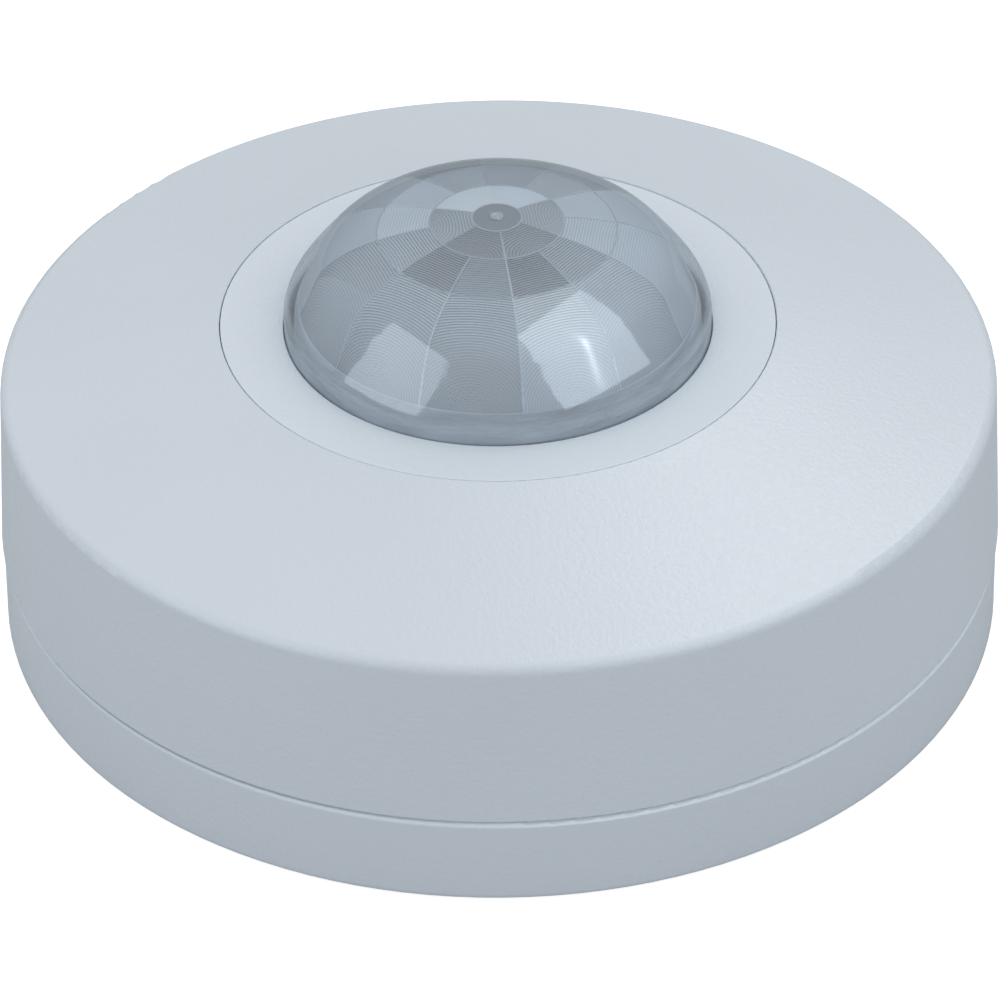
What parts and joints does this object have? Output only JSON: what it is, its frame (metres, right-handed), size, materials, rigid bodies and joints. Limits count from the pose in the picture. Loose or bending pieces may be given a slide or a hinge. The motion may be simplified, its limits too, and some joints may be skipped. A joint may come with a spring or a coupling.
{
  "type": "motion sensor",
  "caption": "Round surface-mount ceiling motion sensor with a mounting base, twist-lock sensing head, push-on cover and domed segmented lens.",
  "frame": {"origin": "centre of the back face, the face that lies on the ceiling or wall", "axes": "+Z out of the ceiling or wall through the lens, -Y towards the three adjusters, X along the two fixing slots"},
  "size_m": [0.115, 0.115, 0.0502],
  "materials": {
    "shell_white": "fine spark-eroded matte",
    "inner_white": "satin moulded",
    "lens_milk": "glossy outside, ribbed inside",
    "board_green": "solder mask",
    "steel": "zinc plated",
    "can_metal": "nickel plated",
    "window_ir": "polished filter",
    "ceramic": "fired ceramic",
    "led_red": "clear tinted",
    "chip_black": "moulded epoxy",
    "relay_case": "moulded",
    "copper": "enamelled wire",
    "iron": "annealed iron",
    "brass": "plain",
    "film_yellow": "moulded box",
    "sleeve_dark": "shrink sleeve",
    "varistor_blue": "dipped epoxy",
    "fuse_brown": "moulded",
    "resistor_tan": "lacquer",
    "terminal_grey": "moulded",
    "trimmer_blue": "moulded",
    "knob_grey": "satin moulded"
  },
  "bodies": {
    "base": {"mounting_base": "shell_white"},
    "head": {"bezel_ring": "shell_white", "head_housing": "inner_white", "rear_cover": "inner_white", "fresnel_lens": "lens_milk", "circuit_board": "board_green", "housing_screws": "steel", "board_screws": "steel", "sensor_holder": "chip_black", "pyro_can": "can_metal", "pyro_window": "window_ir", "pyro_header": "can_metal", "pyro_pins": "can_metal", "pyro_element": "ceramic", "light_sensor": "ceramic", "status_led": "led_red", "control_chip": "chip_black", "relay_base": "relay_case", "relay_case": "relay_case", "relay_coil": "copper", "relay_yoke": "iron", "relay_contacts": "brass", "film_capacitor": "film_yellow", "electrolytic_capacitors": "sleeve_dark", "fuse": "fuse_brown", "varistor": "varistor_blue", "resistors": "resistor_tan", "diodes": "chip_black", "transistors": "chip_black", "terminal_block": "terminal_grey", "terminal_cages": "brass", "terminal_screws": "steel", "trimmer_light": "trimmer_blue", "trimmer_time": "trimmer_blue", "trimmer_range": "trimmer_blue"},
    "cover": {"outer_cover": "shell_white"},
    "armature": {"relay_armature": "iron"},
    "knob_light": {"knob_light": "knob_grey"},
    "knob_time": {"knob_time": "knob_grey"},
    "knob_range": {"knob_range": "knob_grey"}
  },
  "joints": [
    {"name": "head_twist", "type": "hinge", "parent": "base", "child": "head", "pos_m": [0, 0, 0], "axis": [0, 0, 1], "range_deg": [0, 15]},
    {"name": "cover_lift", "type": "slide", "parent": "head", "child": "cover", "axis": [0, 0, 1], "range_m": [0, 0.045]},
    {"name": "light_adjuster", "type": "hinge", "parent": "head", "child": "knob_light", "pos_m": [-0.02028, -0.03814, 0.027], "axis": [0, 0, 1], "range_deg": [-135, 135]},
    {"name": "time_adjuster", "type": "hinge", "parent": "head", "child": "knob_time", "pos_m": [0, -0.0432, 0.027], "axis": [0, 0, 1], "range_deg": [-135, 135]},
    {"name": "range_adjuster", "type": "hinge", "parent": "head", "child": "knob_range", "pos_m": [0.02028, -0.03814, 0.027], "axis": [0, 0, 1], "range_deg": [-135, 135]},
    {"name": "relay_armature_rock", "type": "hinge", "parent": "head", "child": "armature", "pos_m": [-0.0349, 0, 0.0116], "axis": [0, 1, 0], "range_deg": [0, 8]}
  ]
}
